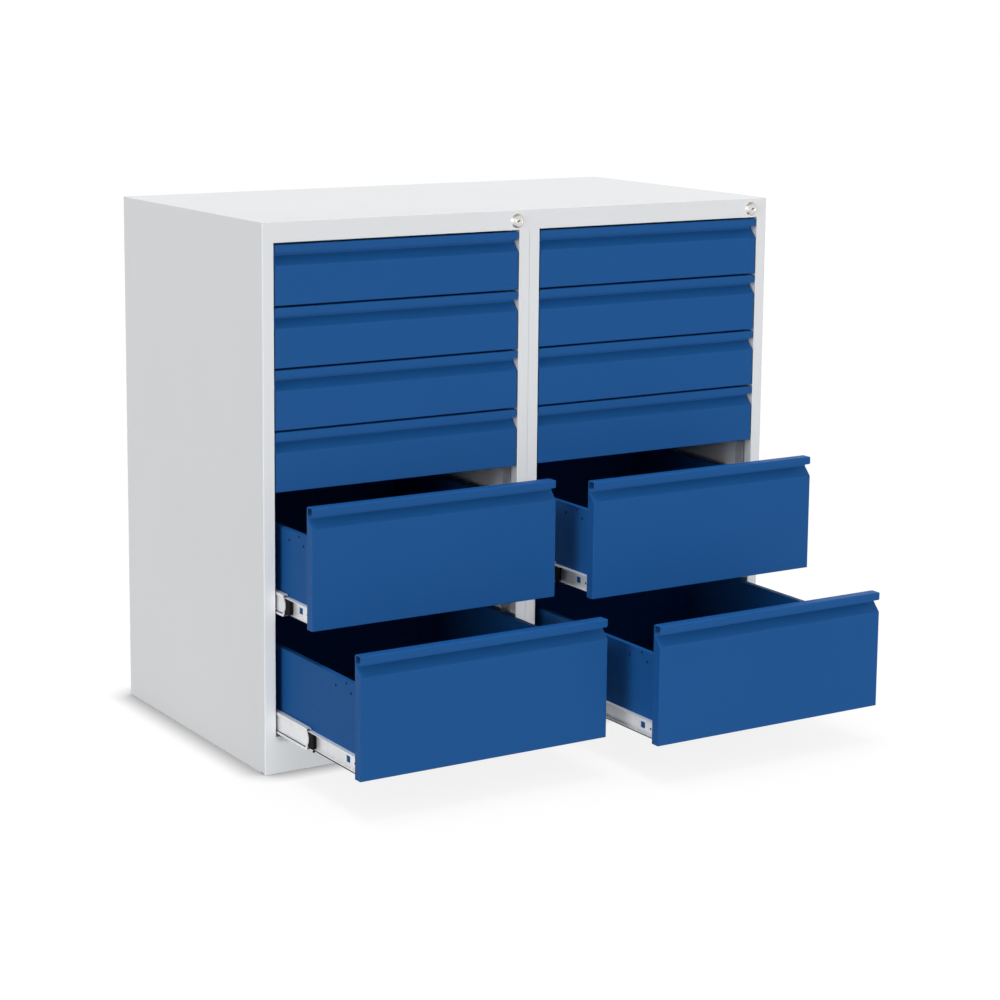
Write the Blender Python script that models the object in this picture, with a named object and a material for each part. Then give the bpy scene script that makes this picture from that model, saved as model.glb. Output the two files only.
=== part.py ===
"""Industrial drawer cabinet with two columns of drawers on telescopic slides.

Metres, +Z up. The drawers open towards -Y. The origin lies on the floor, at the middle of the cabinet.
"""
import math

import bmesh
import bpy
from mathutils import Vector

# Driving dimensions of the cabinet
CABINET_WIDTH = 1.000
CABINET_HEIGHT = 0.900
SHEET = 0.001
BEND_RADIUS = 0.0015
SEAM_RADIUS = 0.0009
FIT = 0.0003
CUT_OVERRUN = 0.002
MERGE_DISTANCE = 0.00002

# Front frame
POST_WIDTH = 0.020
POST_RETURN = 0.018
TOP_RAIL_HEIGHT = 0.033
PLINTH_HEIGHT = 0.062
PANEL_HEM = 0.008
RUNNER_WIDTH = 0.040

# Uprights that carry the slides
UPRIGHT_WIDTH = 0.030
UPRIGHT_SETBACK = 0.045
REAR_UPRIGHT_INSET = 0.079

# Drawer layout
SMALL_DRAWER_COUNT = 4
LARGE_DRAWER_COUNT = 2
LARGE_DRAWER_PITCH_COUNT = 2
DRAWER_GAP = 0.003
DRAWER_SIDE_GAP = 0.002

# Drawer front: a folded pan with a lip over a handle channel
LIP_HEIGHT = 0.013
LIP_BEND = 0.002
CHANNEL_DEPTH = 0.0145
CHANNEL_WALL = 0.019
CHANNEL_SLOPE = 0.015
PAN_MARGIN = 0.002
PAN_FLANGE = 0.015
PAN_BEND = 0.0008
LIP_CORNER = 0.003
LIP_SHOULDER = 0.002

# Drawer box
BOX_RISE = 0.0065
BOX_FLANGE = 0.009
SMALL_WALL_DROP = 0.030
LARGE_WALL_DROP = 0.054

# Telescopic slides, three members nested in one another
SLIDE_LENGTH = 0.500
SLIDE_THICKNESS = 0.0127
SLIDE_HEIGHT = 0.0455
SLIDE_GAUGE = 0.0012
SLIDE_RISE = 0.020
SLIDE_SETBACK = 0.0015
SLIDE_REAR_GAP = 0.016
SLIDE_BEND = 0.0016
SLIDE_SIDE_CLEARANCE = 0.0007
OUTER_BALL = 0.0035
INNER_BALL = 0.0033
BALL_SEAT = 0.0002
WELD_BITE = 0.0002
RACE_LIP = 0.0015
WEB_JOGGLE = 0.0014
CABINET_ARM_SHARE = 0.75
MIDDLE_ARM_SHARE = 0.83
BALL_ROW_END_SHARE = 0.015
MIDDLE_TRAVEL_SHARE = 0.5
NOSE_INSET = 0.0175
NOSE_CORNER = 0.004
BUFFER_REACH = 0.0165
BUFFER_THICKNESS = 0.0050
BUFFER_HEIGHT = 0.0235
BUFFER_BITE = 0.004
WINDOW_SETBACK = 0.031
WINDOW_LENGTH = 0.012
WINDOW_HEIGHT = 0.0105

# Openings of the drawers as they stand, top to bottom in each column
LEFT_EXTENSIONS = (0.0, 0.0, 0.0, 0.0, 0.123, 0.2785)
RIGHT_EXTENSIONS = (0.0, 0.0, 0.0, 0.0, 0.170, 0.3615)

# Locks on the top rail
LOCK_HEIGHT_SHARE = 0.545
LEFT_LOCK_INSET = 0.0045
RIGHT_LOCK_INSET = 0.0135
ROSETTE_RADIUS = 0.01225
ROSETTE_THICKNESS = 0.0022
HOUSING_RADIUS = 0.0095
HOUSING_LENGTH = 0.015
CYLINDER_RADIUS = 0.0070
CYLINDER_HEAD = 0.0030
KEY_SLOT_LENGTH = 0.0065
KEY_SLOT_WIDTH = 0.0014
KEY_SLOT_DEPTH = 0.0020
KEY_SLOT_TILT = math.radians(35.0)
ROUND_SEGMENT_COUNT = 24
STUD_SEGMENT_COUNT = 12
CATCH_SEGMENT_COUNT = 8
DOME_TURNS = (0.0, math.pi / 6, math.pi / 3)
SMOOTH_ANGLE = math.radians(35.0)
BEND_STEP_COUNT = 3
SMALL_BEND_STEP_COUNT = 1
SHOULDER_STEP_COUNT = 2
BALL_ROW_SEGMENT_COUNT = 4

# Locking bar, lifted by a pin on the cam of the lock
BAR_TRAVEL = 0.012
BAR_WIDTH = 0.012
BAR_THICKNESS = 0.003
BAR_SETBACK = 0.024
CAM_SETBACK = 0.019
CAM_THICKNESS = 0.002
CAM_BITE = 0.0005
CAM_WIDTH = 0.009
PIN_RADIUS = 0.0025
PIN_CLEARANCE = 0.0003
HEAD_WALL = 0.003
HOOK_HEIGHT = 0.008
HOOK_REACH = 0.0075
HOOK_CLEARANCE = 0.002
CATCH_RADIUS = 0.003
CATCH_LENGTH = 0.008
CATCH_CLEARANCE = 0.001

# Relief slot at the foot of each side panel, behind its front bend
RELIEF_SETBACK = 0.002
RELIEF_LENGTH = 0.013
RELIEF_HEIGHT = 0.002

# Finishes: colour, roughness, metallic
GREY_FINISH = ((0.70, 0.71, 0.72), 0.55, 0.0)
BLUE_FINISH = ((0.018, 0.09, 0.27), 0.45, 0.0)
ZINC_FINISH = ((0.78, 0.79, 0.80), 0.30, 1.0)
NICKEL_FINISH = ((0.72, 0.71, 0.69), 0.20, 1.0)

# Worked out from the sizes above
PAN_DEPTH = CHANNEL_DEPTH + SHEET + PAN_MARGIN
SLIDE_START = PAN_DEPTH + SLIDE_SETBACK
SLIDE_END = SLIDE_START + SLIDE_LENGTH
CABINET_DEPTH = SLIDE_END + SLIDE_REAR_GAP
FRONT = -CABINET_DEPTH / 2
BACK = CABINET_DEPTH / 2
OPENING_BOTTOM = PLINTH_HEIGHT
OPENING_TOP = CABINET_HEIGHT - TOP_RAIL_HEIGHT
COLUMN_WIDTH = CABINET_WIDTH / 2 - 2 * POST_WIDTH
COLUMN_CENTRE = CABINET_WIDTH / 4
PITCH_COUNT = SMALL_DRAWER_COUNT + LARGE_DRAWER_COUNT * LARGE_DRAWER_PITCH_COUNT
PITCH = (OPENING_TOP - OPENING_BOTTOM - DRAWER_GAP) / PITCH_COUNT
PAN_WIDTH = COLUMN_WIDTH - 2 * DRAWER_SIDE_GAP
BOX_WIDTH = COLUMN_WIDTH - 2 * SLIDE_THICKNESS
CABINET_MEMBER_HALF = SLIDE_HEIGHT / 2
MIDDLE_MEMBER_HALF = CABINET_MEMBER_HALF - SLIDE_GAUGE - FIT - OUTER_BALL + BALL_SEAT
DRAWER_MEMBER_HALF = MIDDLE_MEMBER_HALF - SLIDE_GAUGE - FIT - INNER_BALL + BALL_SEAT
MIDDLE_TRAVEL = SLIDE_LENGTH * MIDDLE_TRAVEL_SHARE
LOCK_Z = OPENING_TOP + (CABINET_HEIGHT - OPENING_TOP) * (1 - LOCK_HEIGHT_SHARE)
PARTITION_TOP = OPENING_TOP - FIT
PARTITION_BOTTOM = OPENING_BOTTOM + FIT
CATCH_Z = SLIDE_RISE + CABINET_MEMBER_HALF + HOOK_CLEARANCE + HOOK_HEIGHT + HOOK_CLEARANCE + CATCH_RADIUS


def material(name, colour, roughness, metallic):
    """A plain principled material."""
    result = bpy.data.materials.new(name)
    result.use_nodes = True
    shader = result.node_tree.nodes["Principled BSDF"]
    shader.inputs["Base Color"].default_value = (*colour, 1.0)
    shader.inputs["Roughness"].default_value = roughness
    shader.inputs["Metallic"].default_value = metallic
    return result


def add_object(name, mesh, look, location=(0.0, 0.0, 0.0), parent=None):
    """Puts a mesh into the scene as one named sub-part."""
    item = bpy.data.objects.new(name, mesh)
    item.location = location
    item.parent = parent
    bpy.context.scene.collection.objects.link(item)
    if not mesh.materials:
        mesh.materials.append(look)
    return item


def add_empty(name, location):
    """An unseen carrier that places the pieces of one moving group."""
    item = bpy.data.objects.new(name, None)
    item.location = location
    bpy.context.scene.collection.objects.link(item)
    return item


def mesh_from(bm, name, smooth_angle=None):
    """Closes a bmesh with its faces pointing out and returns it as a mesh."""
    bmesh.ops.recalc_face_normals(bm, faces=bm.faces)
    mesh = bpy.data.meshes.new(name)
    bm.to_mesh(mesh)
    bm.free()
    if smooth_angle is not None:
        mesh.shade_smooth()
        mesh.set_sharp_from_angle(angle=smooth_angle)
    return mesh


def loft(bm, rings, closed=False):
    """Bridges rings of as many points each, and caps the ends unless the last joins the first."""
    loops = [[bm.verts.new(point) for point in ring] for ring in rings]
    count = len(loops[0])
    pairs = list(zip(loops, loops[1:]))
    if closed:
        pairs.append((loops[-1], loops[0]))
    for low, high in pairs:
        for index in range(count):
            following = (index + 1) % count
            bm.faces.new((low[index], low[following], high[following], high[index]))
    if not closed:
        bm.faces.new(loops[0])
        bm.faces.new(loops[-1])


def prism(bm, outline, low, high, axis):
    """Extrudes an outline from low to high along X, Y or Z."""
    places = {
        "X": lambda a, b, c: (c, a, b),
        "Y": lambda a, b, c: (a, c, b),
        "Z": lambda a, b, c: (a, b, c),
    }
    place = places[axis]
    loft(bm, [[place(a, b, c) for a, b in outline] for c in (low, high)])


def rectangle(a_low, a_high, b_low, b_high):
    """The four corners of a rectangle."""
    return [(a_low, b_low), (a_high, b_low), (a_high, b_high), (a_low, b_high)]


def block(bm, x, y, z):
    """A block between two values on each axis."""
    prism(bm, rectangle(*x, *y), *z, "Z")


def tray(bm, levels, axis):
    """A folded tray: rectangles (a low, a high, b low, b high, level) bridged one after the other."""
    places = {"X": lambda a, b, c: (c, a, b), "Z": lambda a, b, c: (a, b, c)}
    place = places[axis]
    loft(bm, [[place(a, b, level) for a, b in rectangle(*sides)] for *sides, level in levels])


def folded_sheet(path, thickness):
    """Outline of a folded sheet: path is its outer surface and the sheet lies to its right."""
    points = [Vector(point) for point in path]
    directions = [(after - before).normalized() for before, after in zip(points, points[1:])]
    inner = []
    for index, point in enumerate(points):
        before = directions[max(index - 1, 0)]
        after = directions[min(index, len(directions) - 1)]
        sides = [Vector((run.y, -run.x)) for run in (before, after)]
        mitre = (sides[0] + sides[1]).normalized()
        inner.append(point + mitre * (thickness / mitre.dot(sides[0])))
    return [tuple(point) for point in points + inner[::-1]]


def bent(path, radius, thickness, steps=BEND_STEP_COUNT):
    """Rounds the corners of a folded sheet's outer path: right turns lie outside, left turns inside."""
    points = [Vector(point) for point in path]
    result = [points[0]]
    for before, corner, after in zip(points, points[1:], points[2:]):
        arriving = (corner - before).normalized()
        leaving = (after - corner).normalized()
        turn = arriving.angle_signed(leaving)
        reach = radius if turn > 0 else radius - thickness
        trim = reach * math.tan(abs(turn) / 2)
        start = corner - arriving * trim
        side = Vector((arriving.y, -arriving.x)) * math.copysign(1.0, turn)
        for step in range(steps + 1):
            part = abs(turn) * step / steps
            result.append(start + arriving * (reach * math.sin(part)) + side * (reach * (1 - math.cos(part))))
    return [tuple(point) for point in (*result, points[-1])]


def quarter(radius, steps=BEND_STEP_COUNT):
    """Steps round a quarter turn: how far each has gone along the first edge and the second."""
    turns = [math.pi / 2 * step / steps for step in range(steps + 1)]
    return [(radius * math.sin(turn), radius * (1 - math.cos(turn))) for turn in turns]


def circle(radius, segments=ROUND_SEGMENT_COUNT, centre=(0.0, 0.0)):
    """Points round a circle."""
    turns = [2 * math.pi * step / segments for step in range(segments)]
    return [(centre[0] + radius * math.cos(turn), centre[1] + radius * math.sin(turn)) for turn in turns]


def turned(bm, profile, closed):
    """Revolves a profile of (radius, depth) pairs round the Y axis."""
    loft(bm, [[(x, depth, z) for x, z in circle(radius)] for radius, depth in profile], closed)


def combined(base, tool_bm, operation):
    """Joins a bmesh to a mesh, or cuts it away, and returns the solid that is left."""
    tool_mesh = mesh_from(tool_bm, "tool")
    work = bpy.data.objects.new("work", base)
    tool = bpy.data.objects.new("tool", tool_mesh)
    for item in (work, tool):
        bpy.context.scene.collection.objects.link(item)
    step = work.modifiers.new(operation.lower(), "BOOLEAN")
    step.operation = operation
    step.solver = "EXACT"
    step.object = tool
    depsgraph = bpy.context.evaluated_depsgraph_get()
    result = bpy.data.meshes.new_from_object(work.evaluated_get(depsgraph))
    result.name = base.name
    bm = bmesh.new()
    bm.from_mesh(result)
    bmesh.ops.remove_doubles(bm, verts=bm.verts, dist=MERGE_DISTANCE)
    bm.to_mesh(result)
    bm.free()
    for item in (work, tool):
        bpy.data.objects.remove(item)
    return result


def wall_cassette(name, outer_x, inner_x, bottom, top, back, outer_bend):
    """One side wall of a column: a sheet folded to a post in front and hemmed all round."""
    inward = math.copysign(1.0, inner_x - outer_x)
    sheet_x = outer_x + inward * SHEET
    return_x = inner_x - inward * SHEET
    outer_bends = [
        (FRONT + outer_bend - along, back, bottom, top, outer_x + inward * across)
        for along, across in quarter(outer_bend)
    ]
    inner_bends = [
        (FRONT + across, back, bottom, top, inner_x - inward * (BEND_RADIUS - along))
        for along, across in quarter(BEND_RADIUS)
    ]
    cavity = (FRONT + SHEET, back - SHEET, bottom + SHEET, top - SHEET)
    window = (FRONT + POST_RETURN, back - PANEL_HEM, bottom + PANEL_HEM, top - PANEL_HEM)
    bm = bmesh.new()
    tray(bm, [
        *outer_bends,
        *inner_bends,
        (*window, inner_x),
        (*window, return_x),
        (*cavity, return_x),
        (*cavity, sheet_x),
    ], "X")
    uprights = bmesh.new()
    for setback in (UPRIGHT_SETBACK, SLIDE_END - REAR_UPRIGHT_INSET):
        upright(uprights, outer_x + inward * SHEET / 2, inner_x, FRONT + setback)
    panel = combined(mesh_from(bm, name), uprights, "UNION")
    slides = bmesh.new()
    for _, _, _, pitches, lip_top in column_layout():
        centre_z = lip_top - front_height(pitches) + SLIDE_RISE
        section = [(inner_x + inward * a, centre_z + b) for a, b in cabinet_member_outline()]
        prism(slides, section, FRONT + SLIDE_START, FRONT + SLIDE_END, "Y")
    return combined(panel, slides, "UNION")


def upright(bm, root_x, face_x, start_y):
    """A hat channel welded to a wall, whose flat face carries the slides."""
    end_y = start_y + UPRIGHT_WIDTH
    path = [(root_x, start_y), (face_x, start_y), (face_x, end_y), (root_x, end_y)]
    if face_x > root_x:
        path.reverse()
    low = OPENING_BOTTOM + FIT + PANEL_HEM + SHEET
    prism(bm, folded_sheet(path, SHEET), low, OPENING_TOP - FIT - PANEL_HEM - SHEET, "Z")


def build_side_panels(look):
    """The left and right side panels, each with its post, uprights and fixed slide members."""
    for name, side in (("left_side_panel", -1), ("right_side_panel", 1)):
        outer = side * CABINET_WIDTH / 2
        inner = outer - side * POST_WIDTH
        panel = wall_cassette(name, outer, inner, 0.0, CABINET_HEIGHT - SHEET - FIT, BACK, BEND_RADIUS)
        relief = bmesh.new()
        slot_x = sorted((outer + side * CUT_OVERRUN, outer - side * (SHEET + FIT)))
        slot_y = (FRONT + RELIEF_SETBACK, FRONT + RELIEF_SETBACK + RELIEF_LENGTH)
        block(relief, slot_x, slot_y, (-CUT_OVERRUN, RELIEF_HEIGHT))
        add_object(name, combined(panel, relief, "DIFFERENCE"), look)


def build_centre_partition(look):
    """Two wall cassettes welded back to back, whose posts meet at a seam under the top rail."""
    name = "centre_partition"
    wall_back = BACK - SHEET - FIT
    halves = []
    for side in (-1, 1):
        walls = (-side * WELD_BITE, side * POST_WIDTH)
        halves.append(wall_cassette(name, *walls, PARTITION_BOTTOM, PARTITION_TOP, wall_back, SEAM_RADIUS))
    other = bmesh.new()
    other.from_mesh(halves[1])
    mesh = combined(halves[0], other, "UNION")
    notch = bmesh.new()
    notch_x = (-POST_WIDTH - CUT_OVERRUN, -POST_WIDTH + 2 * SHEET + BAR_WIDTH + SHEET)
    notch_y = (FRONT + CAM_SETBACK - CAM_BITE - FIT, bar_front() + BAR_THICKNESS + SHEET)
    block(notch, notch_x, notch_y, (PARTITION_TOP - PANEL_HEM - CUT_OVERRUN, PARTITION_TOP + CUT_OVERRUN))
    add_object(name, combined(mesh, notch, "DIFFERENCE"), look)


def build_top_panel(look):
    """The top sheet and the rail under its front edge, with a hole for each lock."""
    half = CABINET_WIDTH / 2
    edge = [(FRONT + across, CABINET_HEIGHT - SHEET + along) for along, across in quarter(SHEET)]
    bm = bmesh.new()
    prism(bm, [*edge, (BACK, CABINET_HEIGHT), (BACK, CABINET_HEIGHT - SHEET)], -half, half, "X")
    panel = mesh_from(bm, "top_panel")
    path = [
        (FRONT + POST_RETURN, OPENING_TOP),
        (FRONT, OPENING_TOP),
        (FRONT, CABINET_HEIGHT - SHEET + WELD_BITE),
    ]
    rail = bmesh.new()
    rail_half = half - POST_WIDTH - FIT
    prism(rail, folded_sheet(bent(path, BEND_RADIUS, SHEET), SHEET), -rail_half, rail_half, "X")
    panel = combined(panel, rail, "UNION")
    for lock_x in lock_places().values():
        hole = bmesh.new()
        outline = circle(HOUSING_RADIUS + FIT, centre=(lock_x, LOCK_Z))
        prism(hole, outline, FRONT - CUT_OVERRUN, FRONT + SHEET + CUT_OVERRUN, "Y")
        panel = combined(panel, hole, "DIFFERENCE")
    add_object("top_panel", panel, look)


def build_base_panel(look):
    """The floor of the cabinet, folded down to the plinth in front and to a foot behind."""
    half = CABINET_WIDTH / 2 - POST_WIDTH - FIT
    rear = BACK - SHEET - FIT
    path = [
        (FRONT + POST_RETURN, 0.0),
        (FRONT, 0.0),
        (FRONT, PLINTH_HEIGHT),
        (rear, PLINTH_HEIGHT),
        (rear, 0.0),
        (rear - POST_RETURN, 0.0),
    ]
    bm = bmesh.new()
    prism(bm, folded_sheet(bent(path, BEND_RADIUS, SHEET), SHEET), -half, half, "X")
    panel = mesh_from(bm, "base_panel")
    runner_top = PLINTH_HEIGHT - SHEET / 2
    runner_half = RUNNER_WIDTH / 2
    runner_path = [
        (runner_half, runner_top),
        (runner_half, 0.0),
        (-runner_half, 0.0),
        (-runner_half, runner_top),
    ]
    runner = bmesh.new()
    prism(runner, folded_sheet(runner_path, SHEET), -half, half, "X")
    add_object("base_panel", combined(panel, runner, "UNION"), look)


def build_back_panel(look):
    """The flat sheet that closes the back between the side panels."""
    half = CABINET_WIDTH / 2 - POST_WIDTH - FIT
    bm = bmesh.new()
    block(bm, (-half, half), (BACK - SHEET, BACK), (0.0, CABINET_HEIGHT - SHEET - FIT))
    add_object("back_panel", mesh_from(bm, "back_panel"), look)


def column_layout():
    """Name, side, extension, pitch count and lip height of each drawer of the left column."""
    return [drawer for drawer in drawer_layout() if drawer[1] < 0]


def drawer_layout():
    """Name, side, extension, pitch count and lip height of each drawer, top to bottom."""
    drawers = []
    pitches = [1] * SMALL_DRAWER_COUNT + [LARGE_DRAWER_PITCH_COUNT] * LARGE_DRAWER_COUNT
    for column, side, extensions in (("left", -1, LEFT_EXTENSIONS), ("right", 1, RIGHT_EXTENSIONS)):
        lip_top = OPENING_TOP - DRAWER_GAP
        for number, (count, extension) in enumerate(zip(pitches, extensions), start=1):
            drawers.append((f"{column}_drawer_{number}", side, extension, count, lip_top))
            lip_top -= count * PITCH
    return drawers


def front_height(pitches):
    """Height of a drawer front that fills a number of pitches."""
    return pitches * PITCH - DRAWER_GAP


def pan_outline(height):
    """Section of a drawer front: face, lip, top plate and handle channel, from the lip top down."""
    slope_end = CHANNEL_WALL + CHANNEL_SLOPE
    bend = [(across, along - LIP_BEND) for along, across in quarter(LIP_BEND)]
    foot = [(PAN_BEND - along, across - height) for along, across in quarter(PAN_BEND, SMALL_BEND_STEP_COUNT)]
    return [
        (0.0, -LIP_HEIGHT),
        *bend,
        (PAN_DEPTH, 0.0),
        (PAN_DEPTH, -height),
        *foot,
        (0.0, -slope_end),
        (CHANNEL_DEPTH, -CHANNEL_WALL),
        (CHANNEL_DEPTH, -SHEET),
        (SHEET, -SHEET),
        (SHEET, -LIP_HEIGHT),
    ]


def pan_hollow(height):
    """Section of the room inside a drawer front, one sheet in from its face and its back."""
    steepness = CHANNEL_SLOPE / CHANNEL_DEPTH
    drop = SHEET * math.hypot(1.0, steepness)
    slope_end = CHANNEL_WALL + CHANNEL_SLOPE
    return [
        (CHANNEL_DEPTH + SHEET, -SHEET),
        (PAN_DEPTH - SHEET, -SHEET),
        (PAN_DEPTH - SHEET, SHEET - height),
        (SHEET, SHEET - height),
        (SHEET, -slope_end + steepness * SHEET - drop),
        (CHANNEL_DEPTH + SHEET, -slope_end + steepness * (CHANNEL_DEPTH + SHEET) - drop),
    ]


def front_mesh(pitches):
    """A folded drawer front, its face at Y 0 and its lip top at Z 0."""
    height = front_height(pitches)
    half = PAN_WIDTH / 2
    outline = pan_outline(height)
    rings = []
    for along, across in quarter(PAN_BEND, SMALL_BEND_STEP_COUNT):
        held = PAN_BEND - along
        rings.append([(across - half, max(y, held), z) for y, z in outline])
    rings += [[(-x, y, z) for x, y, z in ring] for ring in reversed(rings)]
    bm = bmesh.new()
    loft(bm, rings)
    hollow = bmesh.new()
    inside = PAN_WIDTH / 2 - SHEET
    prism(hollow, pan_hollow(height), -inside, inside, "X")
    mesh = combined(mesh_from(bm, "front"), hollow, "DIFFERENCE")
    window = bmesh.new()
    window_y = (PAN_DEPTH - SHEET - FIT, PAN_DEPTH + CUT_OVERRUN)
    block(window, (-inside, inside), window_y, (PAN_FLANGE - height, -PAN_FLANGE))
    mesh = combined(mesh, window, "DIFFERENCE")
    corners = bmesh.new()
    for side in (-1, 1):
        shoulder = corner_cut(side * half, 0.0, -side, -1, LIP_SHOULDER, SHOULDER_STEP_COUNT)
        prism(corners, shoulder, -CUT_OVERRUN, PAN_DEPTH + CUT_OVERRUN, "Y")
        lip_corner = corner_cut(side * half, -LIP_HEIGHT, -side, 1, LIP_CORNER)
        prism(corners, lip_corner, -CUT_OVERRUN, SHEET + FIT, "Y")
    return combined(mesh, corners, "DIFFERENCE")


def corner_cut(a, b, a_inward, b_inward, radius, steps=BEND_STEP_COUNT):
    """Outline of what is cut away to round a corner at (a, b), overrunning both of its edges."""
    arc = [
        (a + a_inward * (radius - along), b + b_inward * across)
        for along, across in quarter(radius, steps)
    ]
    return [
        *arc,
        (a - a_inward * CUT_OVERRUN, b + b_inward * radius),
        (a - a_inward * CUT_OVERRUN, b - b_inward * CUT_OVERRUN),
        (a + a_inward * radius, b - b_inward * CUT_OVERRUN),
    ]


def box_mesh(pitches):
    """A folded drawer box with its top edges turned in, and the catch that the bar holds."""
    height = front_height(pitches)
    drop = SMALL_WALL_DROP if pitches == 1 else LARGE_WALL_DROP
    wall_top = max(-drop, CATCH_Z + CATCH_RADIUS + SHEET - height)
    half = BOX_WIDTH / 2
    start = PAN_DEPTH + FIT
    end = start + SLIDE_LENGTH
    low = BOX_RISE - height
    outside = (-half, half, start, end)
    inside = (-half + SHEET, half - SHEET, start + SHEET, end - SHEET)
    mouth = (-half + BOX_FLANGE, half - BOX_FLANGE, start + BOX_FLANGE, end - BOX_FLANGE)
    bm = bmesh.new()
    tray(bm, [
        (*outside, low),
        (*outside, wall_top),
        (*mouth, wall_top),
        (*mouth, wall_top - SHEET),
        (*inside, wall_top - SHEET),
        (*inside, low + SHEET),
    ], "Z")
    fittings = bmesh.new()
    depth = bar_front() - FRONT + BAR_THICKNESS + CATCH_CLEARANCE + CATCH_RADIUS
    outline = circle(CATCH_RADIUS, CATCH_SEGMENT_COUNT, (depth, CATCH_Z - height))
    prism(fittings, outline, half - SHEET / 2, half + CATCH_LENGTH, "X")
    mesh = combined(mesh_from(bm, "box"), fittings, "UNION")
    members = bmesh.new()
    for side in (-1, 1):
        members.from_mesh(drawer_member_mesh(side, SLIDE_RISE - height))
    return combined(mesh, members, "UNION")


def drawer_member_mesh(side, centre_z):
    """The drawer member of a slide, with the window of its catch near its front."""
    bm = bmesh.new()
    slide_member(bm, drawer_member_outline(), side, centre_z)
    cut = bmesh.new()
    outer = COLUMN_WIDTH / 2 - SLIDE_THICKNESS
    span = sorted((side * (outer - WELD_BITE - CUT_OVERRUN), side * (outer + SLIDE_GAUGE + CUT_OVERRUN)))
    window_y = (SLIDE_START + WINDOW_SETBACK, SLIDE_START + WINDOW_SETBACK + WINDOW_LENGTH)
    block(cut, span, window_y, (centre_z - WINDOW_HEIGHT / 2, centre_z + WINDOW_HEIGHT / 2))
    return combined(mesh_from(bm, "drawer_member"), cut, "DIFFERENCE")


def cabinet_member_outline():
    """Section of the member fixed to the uprights, with its wall at X 0 and the drawer at +X."""
    arm = SLIDE_THICKNESS * CABINET_ARM_SHARE
    half = CABINET_MEMBER_HALF
    race = [(arm, RACE_LIP + SLIDE_GAUGE - half), (arm, -half), (-WELD_BITE, -half)]
    lower = bent(race, SLIDE_BEND, SLIDE_GAUGE, SMALL_BEND_STEP_COUNT)
    upper = [(a, -b) for a, b in reversed(lower)]
    return folded_sheet([*lower, *upper], SLIDE_GAUGE)


def middle_member_start():
    """Distance from the wall of a slide to the outside of its middle member."""
    return SLIDE_GAUGE + SLIDE_SIDE_CLEARANCE


def middle_member_outline():
    """Section of the middle member, whose web is joggled in between its ball races."""
    start = middle_member_start()
    web = start + WEB_JOGGLE
    arm = SLIDE_THICKNESS * MIDDLE_ARM_SHARE
    half = MIDDLE_MEMBER_HALF
    edge = DRAWER_MEMBER_HALF + FIT
    path = [
        (arm, RACE_LIP + SLIDE_GAUGE - half),
        (arm, -half),
        (start, -half),
        (start, -edge),
        (web, WEB_JOGGLE - edge),
        (web, edge - WEB_JOGGLE),
        (start, edge),
        (start, half),
        (arm, half),
        (arm, half - RACE_LIP - SLIDE_GAUGE),
    ]
    return folded_sheet(path, SLIDE_GAUGE)


def drawer_member_outline():
    """Section of the member riveted to the drawer box."""
    web = SLIDE_THICKNESS + WELD_BITE
    arm = middle_member_start() + WEB_JOGGLE + SLIDE_GAUGE + SLIDE_SIDE_CLEARANCE
    half = DRAWER_MEMBER_HALF
    path = [(arm, half), (web, half), (web, -half), (arm, -half)]
    return folded_sheet(path, SLIDE_GAUGE)


def slide_member(bm, outline, side, centre_z, start=SLIDE_START):
    """One member of the slide on the left (-1) or right (1) of a column whose middle is X 0."""
    section = [(side * (COLUMN_WIDTH / 2 - a), centre_z + b) for a, b in outline]
    prism(bm, section, start, SLIDE_END, "Y")


def middle_member_mesh(side):
    """A middle member with its ball rows, the outer rows behind, the inner rows in front, and its buffer."""
    nose = SLIDE_START + NOSE_INSET
    bm = bmesh.new()
    slide_member(bm, middle_member_outline(), side, 0.0, nose)
    mesh = mesh_from(bm, "middle_slide")
    corners = bmesh.new()
    start = middle_member_start()
    across = sorted(side * (COLUMN_WIDTH / 2 - a) for a in (start - CUT_OVERRUN, SLIDE_THICKNESS))
    for end in (-1, 1):
        prism(corners, corner_cut(nose, end * MIDDLE_MEMBER_HALF, 1, -end, NOSE_CORNER), *across, "X")
    mesh = combined(mesh, corners, "DIFFERENCE")
    buffer = bmesh.new()
    web_face = start + WEB_JOGGLE + SLIDE_GAUGE
    buffer_depths = (web_face - WELD_BITE, web_face + BUFFER_THICKNESS)
    buffer_x = sorted(side * (COLUMN_WIDTH / 2 - a) for a in buffer_depths)
    buffer_y = (nose - BUFFER_REACH, nose + BUFFER_BITE)
    block(buffer, buffer_x, buffer_y, (-BUFFER_HEIGHT / 2, BUFFER_HEIGHT / 2))
    mesh = combined(mesh, buffer, "UNION")
    margin = SLIDE_LENGTH * BALL_ROW_END_SHARE
    cabinet_arm = SLIDE_THICKNESS * CABINET_ARM_SHARE
    middle_arm = SLIDE_THICKNESS * MIDDLE_ARM_SHARE
    outer_x = side * (COLUMN_WIDTH / 2 - cabinet_arm / 2)
    inner_x = side * (COLUMN_WIDTH / 2 - (middle_member_start() + WEB_JOGGLE + middle_arm) / 2)
    outer_z = MIDDLE_MEMBER_HALF - BALL_SEAT + OUTER_BALL / 2
    inner_z = MIDDLE_MEMBER_HALF - SLIDE_GAUGE + BALL_SEAT - INNER_BALL / 2
    rear = (SLIDE_START + MIDDLE_TRAVEL + margin, SLIDE_END - margin)
    fore = (nose + margin, SLIDE_END - MIDDLE_TRAVEL - margin)
    rows = bmesh.new()
    for x, z, ball, span in ((outer_x, outer_z, OUTER_BALL, rear), (inner_x, inner_z, INNER_BALL, fore)):
        for end in (-1, 1):
            row = [(x + across, end * z + up) for up, across in circle(ball / 2, BALL_ROW_SEGMENT_COUNT)]
            prism(rows, row, *span, "Y")
    return combined(mesh, rows, "UNION")


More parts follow.
